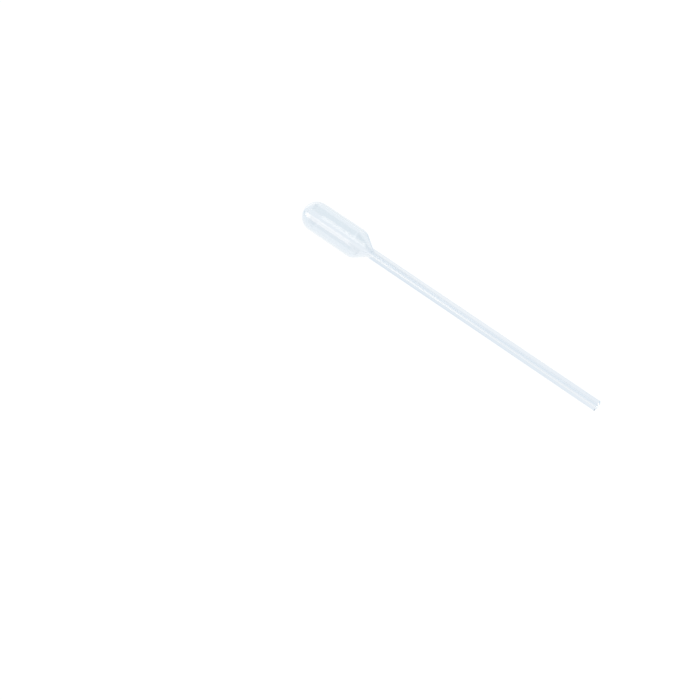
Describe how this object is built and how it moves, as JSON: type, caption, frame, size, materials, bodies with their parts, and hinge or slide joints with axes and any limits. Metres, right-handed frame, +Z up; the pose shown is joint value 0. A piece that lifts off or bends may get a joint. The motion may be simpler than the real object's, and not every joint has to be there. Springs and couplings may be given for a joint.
{
  "type": "dropper pipette",
  "caption": "Soft clear plastic dropper pipette: a squeeze bulb with a domed end, a conical shoulder and a long slim stem whose fine bore is open at the tip.",
  "frame": {"origin": "under the middle of the pipette's box, on the surface that it rests on", "axes": "+X along the pipette from the bulb towards the tip, +Z up, with the pipette lying at rest on its shoulder and the rim of its tip"},
  "size_m": [0.1146, 0.0098, 0.0103],
  "materials": {
    "clear_polyethylene": "clear natural low-density polyethylene, smooth, faintly milky, with fine draw lines along its length"
  },
  "bodies": {
    "root": {"pipette": "clear_polyethylene"}
  },
  "joints": []
}
